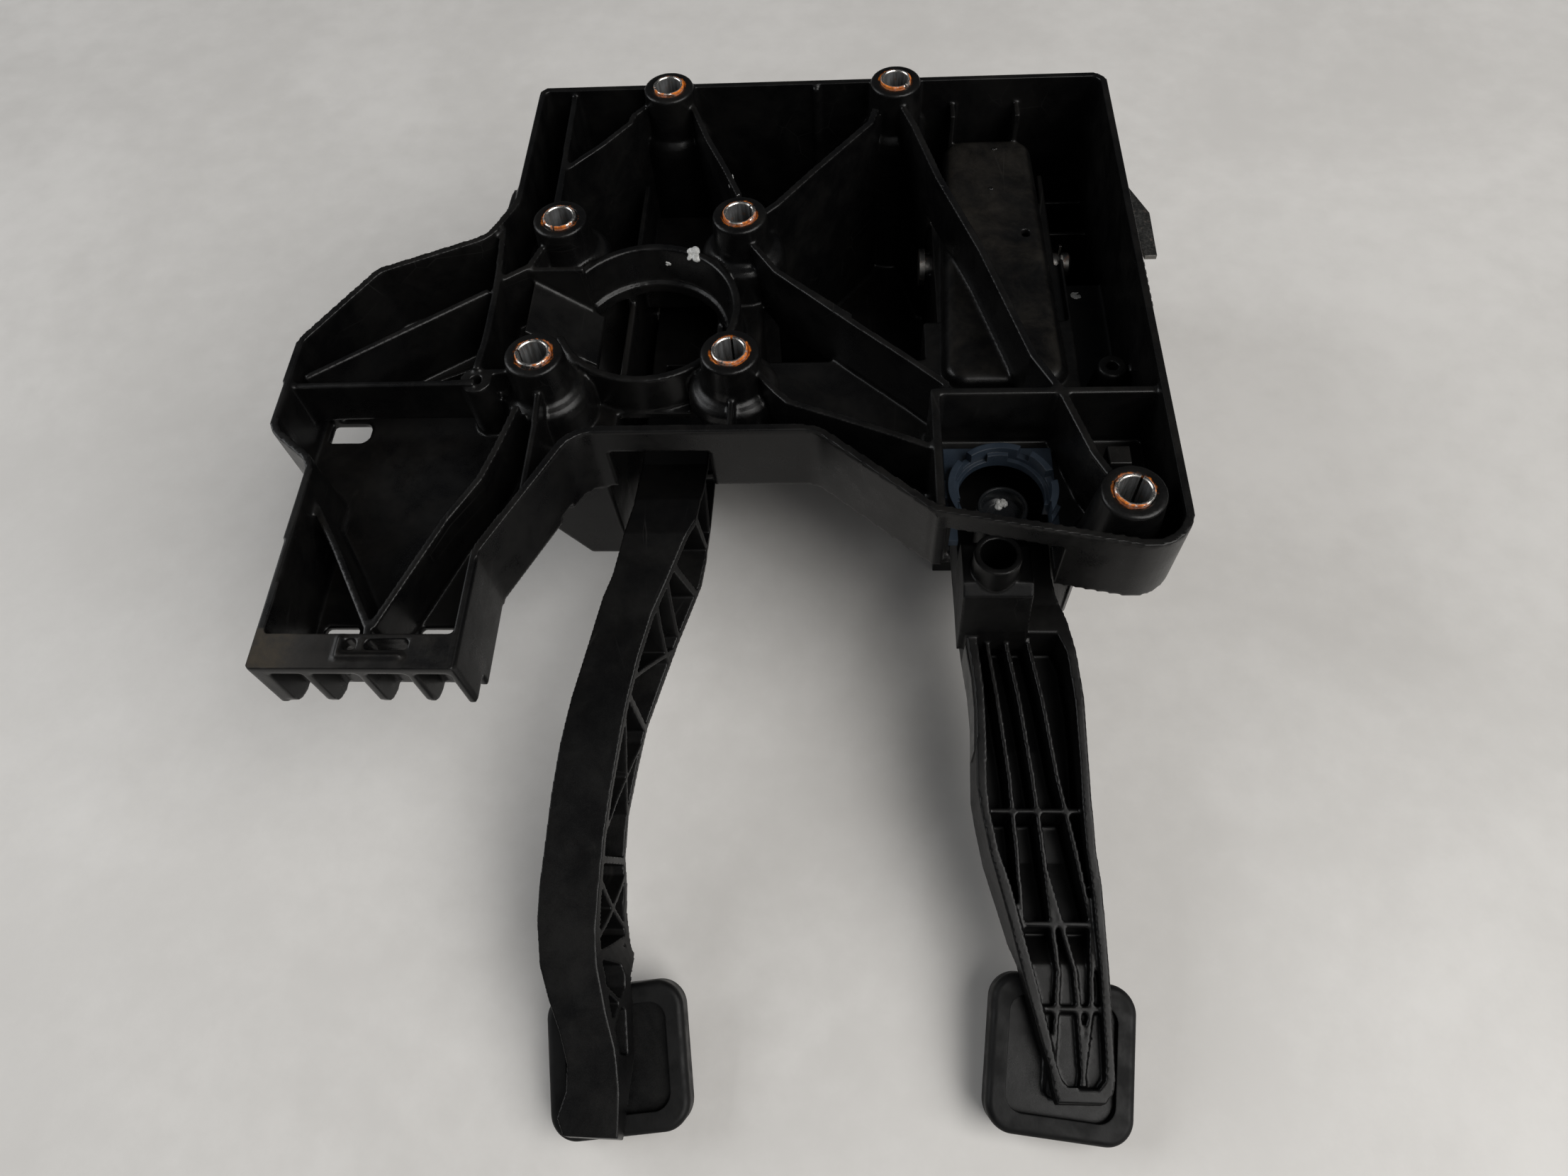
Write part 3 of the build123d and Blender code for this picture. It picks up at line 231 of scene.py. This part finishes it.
def steel(name, base=(0.46, 0.45, 0.43), rough=(0.22, 0.42), rust=0.15, soft=0.0003):
    m = Mat(name)
    fine = m.noise(900, 4, 0.6, vec=m.scaled(1, 1, 0.25))
    col = m.mix(m.ramp(m.noise(160, 5, 0.7), 0.35, 0.7), base, tuple(c * 0.62 for c in base))
    spots = m.math("MULTIPLY", m.ramp(m.noise(260, 5, 0.75), 0.56, 0.70), rust)
    col = m.mix(spots, col, (0.22, 0.07, 0.018))
    m.put(m.b.inputs["Base Color"], col)
    metal = m.math("SUBTRACT", 1.0, m.math("MULTIPLY", spots, 0.9), clamp=True)
    m.put(m.b.inputs["Metallic"], metal)
    m.put(m.b.inputs["Roughness"], m.math("ADD", m.ramp(fine, 0.3, 0.7, rough[0], rough[1]), m.math("MULTIPLY", spots, 0.5), clamp=True))
    m.put(m.b.inputs["Normal"], m.bump(fine, 0.25, 0.00006, m.bevel(soft)))
    return m.m


def sleeve_steel(name):
    """Bright rolled steel with a patchy orange rust ring and a paler bore."""
    m = Mat(name)
    s = m.xyz()
    r = bolt_radius(m, s)
    wob = m.math("MULTIPLY", m.math("SUBTRACT", m.noise(230, 4, 0.7), 0.5), 0.0018)
    rr = m.math("ADD", r, wob)
    ring = m.math("MULTIPLY", m.ramp(rr, 0.00590, 0.00622), m.ramp(s[2], -0.0040, -0.0004), clamp=True)
    rust = m.math("MULTIPLY", ring, m.ramp(m.noise(120, 5, 0.65), 0.45, 0.53), clamp=True)
    inside = m.math("MULTIPLY", m.ramp(r, 0.00560, 0.00545), m.ramp(s[2], -0.0002, -0.0010), clamp=True)
    streak = m.noise(900, 4, 0.65, vec=m.scaled(1, 1, 0.08))
    col = m.mix(m.noise(700, 4), (0.72, 0.70, 0.66), (0.46, 0.445, 0.42))
    col = m.mix(inside, col, m.mix(m.ramp(streak, 0.35, 0.65), (0.21, 0.214, 0.218), (0.10, 0.099, 0.097)))
    spots = m.math("MULTIPLY", inside, m.ramp(m.noise(330, 5, 0.75), 0.58, 0.70), clamp=True)
    col = m.mix(m.math("MULTIPLY", spots, 0.7), col, (0.22, 0.10, 0.04))
    col = m.mix(rust, col, m.mix(m.ramp(m.noise(600, 5), 0.35, 0.65), (0.66, 0.18, 0.010), (0.27, 0.060, 0.006)))
    m.put(m.b.inputs["Base Color"], col)
    metal = m.math("SUBTRACT", 1.0, m.math("ADD", m.math("MULTIPLY", rust, 0.95), m.math("MULTIPLY", inside, 0.45), clamp=True), clamp=True)
    m.put(m.b.inputs["Metallic"], metal)
    rough = m.math("ADD", m.ramp(m.noise(1100, 3), 0.3, 0.7, 0.2, 0.36), m.math("MULTIPLY", rust, 0.45))
    m.put(m.b.inputs["Roughness"], m.math("ADD", rough, m.math("MULTIPLY", inside, 0.15), clamp=True))
    m.put(m.b.inputs["Normal"], m.bump(m.noise(1300, 3), 0.3, 0.00008, m.bevel(0.00025)))
    return m.m


def rubber(name, base=(0.012, 0.012, 0.0122), soft=0.0006, worn_to=0.35, gloss=0.30):
    m = Mat(name)
    mid = m.noise(90, 5, 0.65, 0.3)
    col = m.mix(m.ramp(mid, 0.35, 0.7), base, tuple(0.004 + 0.38 * c for c in base))
    worn = m.math("MULTIPLY", m.ramp(m.noise(40, 6, 0.75, 1.0), 0.52, 0.72), worn_to)
    col = m.mix(worn, col, (0.026, 0.0245, 0.0225))
    m.put(m.b.inputs["Base Color"], col)
    m.put(m.b.inputs["Roughness"], m.ramp(m.noise(130, 4), 0.3, 0.7, 0.42, 0.68))
    m.b.inputs["Specular IOR Level"].default_value = gloss
    h = m.math("ADD", m.math("MULTIPLY", m.noise(1500, 3), 0.5), m.math("MULTIPLY", m.voronoi(900), 0.5))
    m.put(m.b.inputs["Normal"], m.bump(h, 0.25, 0.00012, m.bevel(soft)))
    return m.m


def grease(name):
    m = Mat(name)
    n = m.noise(900, 4, 0.6)
    m.put(m.b.inputs["Base Color"], m.mix(m.ramp(n, 0.3, 0.7), (0.50, 0.50, 0.49), (0.30, 0.30, 0.29)))
    m.put(m.b.inputs["Roughness"], m.ramp(m.noise(500, 3), 0.3, 0.7, 0.18, 0.45))
    m.b.inputs["Subsurface Weight"].default_value = 0.15
    m.b.inputs["Subsurface Radius"].default_value = (0.002, 0.002, 0.002)
    m.put(m.b.inputs["Normal"], m.bump(n, 0.5, 0.0003))
    return m.m


def label_film(name):
    m = Mat(name)
    n = m.noise(220, 5, 0.7)
    col = m.mix(m.ramp(n, 0.35, 0.7), (0.075, 0.074, 0.072), (0.13, 0.128, 0.122))
    m.put(m.b.inputs["Base Color"], col)
    m.put(m.b.inputs["Roughness"], m.ramp(m.noise(90, 3), 0.3, 0.7, 0.30, 0.5))
    m.put(m.b.inputs["Normal"], m.bump(m.noise(300, 4), 0.3, 0.0002))
    return m.m


def table_top(name):
    m = Mat(name)
    n = m.noise(5.5, 5, 0.6, 0.5)
    f = m.noise(60, 5, 0.7)
    v = m.math("MULTIPLY_ADD", n, 0.7, m.math("MULTIPLY", f, 0.3))
    col = m.mix(m.ramp(v, 0.35, 0.68), (0.56, 0.545, 0.525), (0.63, 0.615, 0.595))
    m.put(m.b.inputs["Base Color"], col)
    m.put(m.b.inputs["Roughness"], m.ramp(m.noise(30, 4), 0.3, 0.7, 0.42, 0.58))
    m.b.inputs["Specular IOR Level"].default_value = 0.35
    m.put(m.b.inputs["Normal"], m.bump(m.noise(160, 4), 0.08, 0.0006))
    return m.m


M_HOUSING = plastic("housing_plastic", masks=True, soft=0)
M_ARM = plastic("arm_plastic", base=(0.0020, 0.0020, 0.0022), light=(0.0042, 0.0041, 0.0040), rough=(0.27, 0.44), dust=0.03, soft=0, gloss=0.21)
M_RAIL = plastic("rail_plastic", base=(0.010, 0.010, 0.0105), light=(0.024, 0.0235, 0.023), dust=0.15)
M_ADAPTER = plastic("adapter_plastic", base=(0.012, 0.018, 0.027), light=(0.024, 0.033, 0.046), rough=(0.24, 0.42), dust=0.05)
M_SOCKET = plastic("socket_plastic", base=(0.006, 0.007, 0.008), light=(0.015, 0.016, 0.018), rough=(0.16, 0.34), dust=0.05)
M_BUSH = plastic("bush_plastic", base=(0.42, 0.40, 0.34), light=(0.52, 0.50, 0.44), rough=(0.35, 0.5), dust=0.1)
M_PAD = rubber("pad_rubber", base=(0.0024, 0.0024, 0.0025), worn_to=0.12, gloss=0.17)
M_BUFFER = rubber("buffer_rubber", base=(0.012, 0.012, 0.012))
M_PIN = steel("pin_steel", base=(0.36, 0.355, 0.34))
M_DULL = steel("pin_steel_dull", base=(0.15, 0.145, 0.138), rough=(0.34, 0.52), rust=0.6)
M_BRACKET = steel("bracket_steel", base=(0.20, 0.196, 0.185), rough=(0.3, 0.5), rust=0.35)
M_SLEEVE = sleeve_steel("sleeve_steel")
M_GREASE = grease("white_grease")
M_LABEL = label_film("label_film")
M_OIL = plastic("dark_oil", base=(0.0012, 0.0011, 0.0010), light=(0.0030, 0.0026, 0.0022), rough=(0.03, 0.09), dust=0.0, soft=0, gloss=0.6)
M_TABLE = table_top("table")

BY_NODE = {
    "booster_sleeves": M_SLEEVE, "upper_sleeves": M_SLEEVE, "lower_sleeve": M_SLEEVE,
    "brake_pivot_pin": M_PIN, "brake_pin_clip": M_PIN, "clutch_pivot_pin": M_DULL, "clutch_pin_clip": M_DULL,
    "brake_bushes": M_BUSH, "clutch_bushes": M_BUSH, "brake_pad_rubber": M_PAD, "clutch_pad_rubber": M_PAD,
    "brake_arm": M_ARM, "brake_clevis_pin": M_PIN, "clevis_clip": M_PIN, "clutch_arm": M_ARM, "rod_socket": M_SOCKET,
    "bayonet_adapter": M_ADAPTER, "brake_stop_buffer": M_BUFFER, "clutch_stop_buffer": M_BUFFER,
    "side_bracket": M_BRACKET, "notched_rail": M_RAIL, "arm_label": M_LABEL,
}
HOUSING = sorted(n for n in nodes if n.startswith("housing_"))
for n in HOUSING:
    BY_NODE[n] = M_HOUSING
for n, mat in BY_NODE.items():
    o = nodes[n]
    o.data.materials.clear()
    o.data.materials.append(mat)


# ------------------------------------------------------------------ moulded skins
def arrays(me):
    co = np.empty(len(me.vertices) * 3, np.float32)
    me.vertices.foreach_get("co", co)
    ed = np.empty(len(me.edges) * 2, np.int32)
    me.edges.foreach_get("vertices", ed)
    return co.reshape(-1, 3), ed.reshape(-1, 2)


def relax(me, rounds, lam=0.5, mu=-0.53):
    """Taubin smoothing: rounds the edges without shrinking the shape."""
    co, ed = arrays(me)
    co = co.astype(np.float64)
    a, b = ed[:, 0], ed[:, 1]
    n = len(co)
    deg = np.bincount(a, minlength=n) + np.bincount(b, minlength=n)
    deg = np.maximum(deg, 1)[:, None]
    for i in range(rounds):
        for k in (lam, mu):
            acc = np.zeros_like(co)
            for c in range(3):
                acc[:, c] = np.bincount(a, co[b, c], n) + np.bincount(b, co[a, c], n)
            co += k * (acc / deg - co)
    me.vertices.foreach_set("co", co.astype(np.float32).ravel())
    me.update()
    return co


def volume(me):
    bm = bmesh.new()
    bm.from_mesh(me)
    v = bm.calc_volume()
    bm.free()
    return v


def joined(names):
    """One mesh of nodes that meet face to face, without the walls between them."""
    parts = []
    for n in names:
        o = bpy.data.objects.new("tmp_" + n, nodes[n].data.copy())
        bm = bmesh.new()
        bm.from_mesh(o.data)
        bmesh.ops.remove_doubles(bm, verts=bm.verts, dist=1e-6)
        bm.to_mesh(o.data)
        bm.free()
        parts.append(o)
    if len(parts) == 1:
        me = parts[0].data
        bpy.data.objects.remove(parts[0])
        return me
    whole = sum(volume(o.data) for o in parts)
    group = bpy.data.collections.new("tmp_group")
    scene.collection.children.link(group)
    scene.collection.objects.link(parts[0])
    for o in parts[1:]:
        group.objects.link(o)
    un = parts[0].modifiers.new("union", "BOOLEAN")
    un.operation = "UNION"
    un.operand_type = "COLLECTION"
    un.collection = group
    un.solver = "MANIFOLD"
    dg = bpy.context.evaluated_depsgraph_get()
    me = bpy.data.meshes.new_from_object(parts[0].evaluated_get(dg))
    if abs(volume(me) / whole - 1) > 0.01:
        # the plain sum of the pieces still has the same outside
        print("union failed, pieces are only put together", volume(me), whole)
        bm = bmesh.new()
        for o in parts:
            bm.from_mesh(o.data)
        me = bpy.data.meshes.new("sum")
        bm.to_mesh(me)
        bm.free()
    for o in parts:
        bpy.data.objects.remove(o)
    bpy.data.collections.remove(group)
    return me


def moulded(names, voxel, rounds, faces, body, name):
    """A dense copy of one or more nodes with soft moulded edges."""
    tmp = bpy.data.objects.new("tmp", joined(names))
    scene.collection.objects.link(tmp)
    rm = tmp.modifiers.new("remesh", "REMESH")
    rm.mode = "VOXEL"
    rm.voxel_size = voxel
    rm.adaptivity = 0
    dg = bpy.context.evaluated_depsgraph_get()
    me = bpy.data.meshes.new_from_object(tmp.evaluated_get(dg))
    bpy.data.objects.remove(tmp)
    relax(me, rounds)
    tmp = bpy.data.objects.new("tmp", me)
    scene.collection.objects.link(tmp)
    dm = tmp.modifiers.new("decimate", "DECIMATE")
    dm.ratio = min(1.0, faces / (2.0 * len(me.polygons)))
    dg = bpy.context.evaluated_depsgraph_get()
    thin = bpy.data.meshes.new_from_object(tmp.evaluated_get(dg))
    bpy.data.objects.remove(tmp)
    thin.name = name
    thin.materials.clear()
    thin.materials.append(BY_NODE[names[0]])
    thin.polygons.foreach_set("use_smooth", np.ones(len(thin.polygons), bool))
    # the voxel shell stands a hair outside the solid: pull it back inside the nodes' own box
    lo = np.min([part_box(n)[0] for n in names], axis=0)
    hi = np.max([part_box(n)[1] for n in names], axis=0)
    co, _ = arrays(thin)
    thin.vertices.foreach_set("co", np.clip(co, lo, hi).astype(np.float32).ravel())
    thin.update()
    ob = bpy.data.objects.new(name, thin)
    scene.collection.objects.link(ob)
    wn = ob.modifiers.new("normals", "WEIGHTED_NORMAL")
    wn.mode = "FACE_AREA"
    wn.weight = 60
    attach(ob, body)
    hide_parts(*names)
    return ob


def vertex_normals(me):
    no = np.empty(len(me.vertices) * 3, np.float32)
    me.vertices.foreach_get("normal", no)
    return no.reshape(-1, 3).astype(np.float64)


def paint(me, name, values):
    at = me.attributes.get(name) or me.attributes.new(name, "FLOAT", "POINT")
    at.data.foreach_set("value", np.clip(values, 0, 1).astype(np.float32))


def smooth01(x, a, b):
    t = np.clip((x - a) / (b - a), 0, 1)
    return t * t * (3 - 2 * t)


def convexity(me):
    """Positive on outward edges, negative in corners."""
    co, ed = arrays(me)
    co = co.astype(np.float64)
    no = vertex_normals(me)
    a, b = ed[:, 0], ed[:, 1]
    d = co[b] - co[a]
    ln = np.maximum(np.linalg.norm(d, axis=1), 1e-7)
    ka = -(d * no[a]).sum(1) / ln
    kb = (d * no[b]).sum(1) / ln
    n = len(co)
    s = np.bincount(a, ka, n) + np.bincount(b, kb, n)
    c = np.bincount(a, minlength=n) + np.bincount(b, minlength=n)
    return s / np.maximum(c, 1)


housing = moulded(HOUSING, 0.0008, 4, 190000, "bracket", "housing_moulding")
brake = moulded(["brake_arm"], 0.00045, 2, 80000, "brake_pedal", "brake_arm_moulding")
clutch = moulded(["clutch_arm"], 0.0006, 3, 80000, "clutch_pedal", "clutch_arm_moulding")

hm = housing.data
hc, _ = arrays(hm)
hz = hc[:, 2].astype(np.float64) * 1000
# convex-edge mask for the housing: real scuffs, plus a painted highlight that grows towards the top rims (z above -4
# mm) and drops to about 0.4 of that below -12 mm
paint(hm, "edge_wear_and_highlight", smooth01(convexity(hm), 0.10, 0.40) * (0.35 + 0.5 * smooth01(hz, -12, -4)))


# ------------------------------------------------------------------ camera
def rot(w):
    w = np.array(w, float)
    th = np.linalg.norm(w)
    k = w / th
    K = np.array([[0, -k[2], k[1]], [k[2], 0, -k[0]], [-k[1], k[0], 0]])
    return np.eye(3) + math.sin(th) * K + (1 - math.cos(th)) * K @ K


tilt = math.radians(30.5)
R = rot((0.0048, 0.0583, -0.0012)) @ np.array([[1, 0, 0], [0, -math.cos(tilt), -math.sin(tilt)], [0, math.sin(tilt), -math.cos(tilt)]])
cam = bpy.data.cameras.new("camera")
cam.sensor_width = 36
cam.lens = 1481.888 / 2212 * 36
cam.clip_start, cam.clip_end = 0.01, 20
cam_ob = bpy.data.objects.new("camera", cam)
scene.collection.objects.link(cam_ob)
cam_ob.matrix_world = Matrix([
    [R[0][0], -R[1][0], -R[2][0], 0.07762],
    [R[0][1], -R[1][1], -R[2][1], -0.29940],
    [R[0][2], -R[1][2], -R[2][2], 0.28144],
    [0, 0, 0, 1]])
scene.camera = cam_ob

# ------------------------------------------------------------------ grease and small marks
def through(u, v):
    """Where the sight line of a pixel of the 2212 x 1659 frame meets the object: place, normal and piece."""
    bpy.context.view_layer.update()
    dg = bpy.context.evaluated_depsgraph_get()
    d = R.T @ np.array([u - 1106.0, v - 829.5, 1481.888])
    ok, place, normal, _, ob, _ = scene.ray_cast(dg, cam_ob.location, Vector(d).normalized())
    return (place, normal, ob) if ok else (None, None, None)


def dab(name, u, v, size, seed, body, mat, flat=0.45, n=7, slot=None):
    """An irregular lump of grease where a sight line meets the object."""
    place, normal, ob = through(u, v)
    if place is None:
        return None
    rnd = random.Random(seed)
    turn = normal.to_track_quat("Z", "Y").to_matrix()
    bm = bmesh.new()
    for i in range(n):
        r = size * rnd.uniform(0.28, 0.6)
        off = Vector((rnd.uniform(-0.6, 0.6) * size, rnd.uniform(-0.6, 0.6) * size, size * 0.1 * rnd.random()))
        mt = Matrix.Translation(off) @ Matrix.Rotation(rnd.uniform(0, 3), 4, "Z") @ Matrix.Diagonal((1, rnd.uniform(0.5, 1), flat, 1))
        bmesh.ops.create_icosphere(bm, subdivisions=3, radius=r, matrix=mt)
    me = bpy.data.meshes.new(name)
    bm.to_mesh(me)
    bm.free()
    tmp = bpy.data.objects.new("tmp", me)
    scene.collection.objects.link(tmp)
    rm = tmp.modifiers.new("r", "REMESH")
    rm.mode = "VOXEL"
    rm.voxel_size = size * 0.07
    dg = bpy.context.evaluated_depsgraph_get()
    me2 = bpy.data.meshes.new_from_object(tmp.evaluated_get(dg))
    bpy.data.objects.remove(tmp)
    me2.name = name
    relax(me2, 3)
    co, _ = arrays(me2)
    co = co.astype(np.float64)
    no = vertex_normals(me2)
    k = np.array([noise.fractal(Vector(p * (900.0 * 0.004 / size)) + Vector((seed, 0, 0)), 0.9, 2.0, 4) for p in co])
    co = co + no * (k * size * 0.06)[:, None]
    co = co @ np.array(turn).T + np.array(place)
    me2.vertices.foreach_set("co", co.astype(np.float32).ravel())
    me2.update()
    me2.materials.clear()
    me2.materials.append(mat)
    me2.polygons.foreach_set("use_smooth", np.ones(len(me2.polygons), bool))
    o = bpy.data.objects.new(name, me2)
    scene.collection.objects.link(o)
    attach(o, body)
    return o


dab("grease_dab_1", 977, 357, 0.0034, 2, "bracket", M_GREASE)
dab("grease_dab_2", 943, 372, 0.0012, 3, "bracket", M_GREASE)
dab("grease_dab_3", 1413, 713, 0.0030, 4, "clutch_pedal", M_GREASE)
dab("grease_dab_4", 1034, 250, 0.0012, 5, "bracket", M_GREASE, flat=0.3, n=4)
dab("grease_dab_5", 1029, 263, 0.0008, 6, "bracket", M_GREASE, flat=0.3, n=4)
dab("grease_dab_6", 1041, 275, 0.0007, 7, "bracket", M_GREASE, flat=0.3, n=3)
dab("grease_dab_7", 1517, 417, 0.0026, 8, "bracket", M_GREASE, flat=0.15, n=8)
dab("oil_drop_1", 1402, 210, 0.0014, 9, "bracket", M_OIL, flat=0.35, n=4)
dab("oil_drop_2", 1396, 265, 0.0016, 10, "bracket", M_OIL, flat=0.35, n=4)
dab("oil_drop_3", 1330, 262, 0.0008, 12, "bracket", M_OIL, flat=0.35, n=3)

# ------------------------------------------------------------------ floor and light
me = bpy.data.meshes.new("table_top")
me.from_pydata([(-3, -3, FLOOR_Z), (3, -3, FLOOR_Z), (3, 3, FLOOR_Z), (-3, 3, FLOOR_Z)], [], [(0, 1, 2, 3)])
me.materials.append(M_TABLE)
table = bpy.data.objects.new("table_top", me)
scene.collection.objects.link(table)


def area(name, loc, target, size, power, colour=(1, 1, 1)):
    l = bpy.data.lights.new(name, "AREA")
    l.shape = "RECTANGLE"
    l.size, l.size_y = size
    l.energy = power
    l.color = colour
    o = bpy.data.objects.new(name, l)
    o.location = loc
    o.rotation_mode = "QUATERNION"
    o.rotation_quaternion = (Vector(target) - Vector(loc)).to_track_quat("-Z", "Y")
    scene.collection.objects.link(o)
    return o


area("key", (1.45, -0.9, 1.65), (0.1, -0.1, -0.1), (2.1, 1.9), 66, (1.0, 0.985, 0.96))
area("left", (-2.1, 0.25, 1.25), (-0.1, 0.1, -0.1), (1.6, 1.6), 30, (0.97, 0.985, 1.0))
area("front", (-0.2, -1.9, 1.3), (0.0, -0.1, -0.1), (1.6, 1.0), 2, (1.0, 1.0, 1.0))
w = bpy.data.worlds.new("studio")
scene.world = w
w.use_nodes = True
w.node_tree.nodes["Background"].inputs[0].default_value = (0.86, 0.90, 0.95, 1)
w.node_tree.nodes["Background"].inputs[1].default_value = 0.06
scene.view_settings.view_transform = "Standard"
scene.view_settings.look = "None"
scene.view_settings.exposure = 0.0
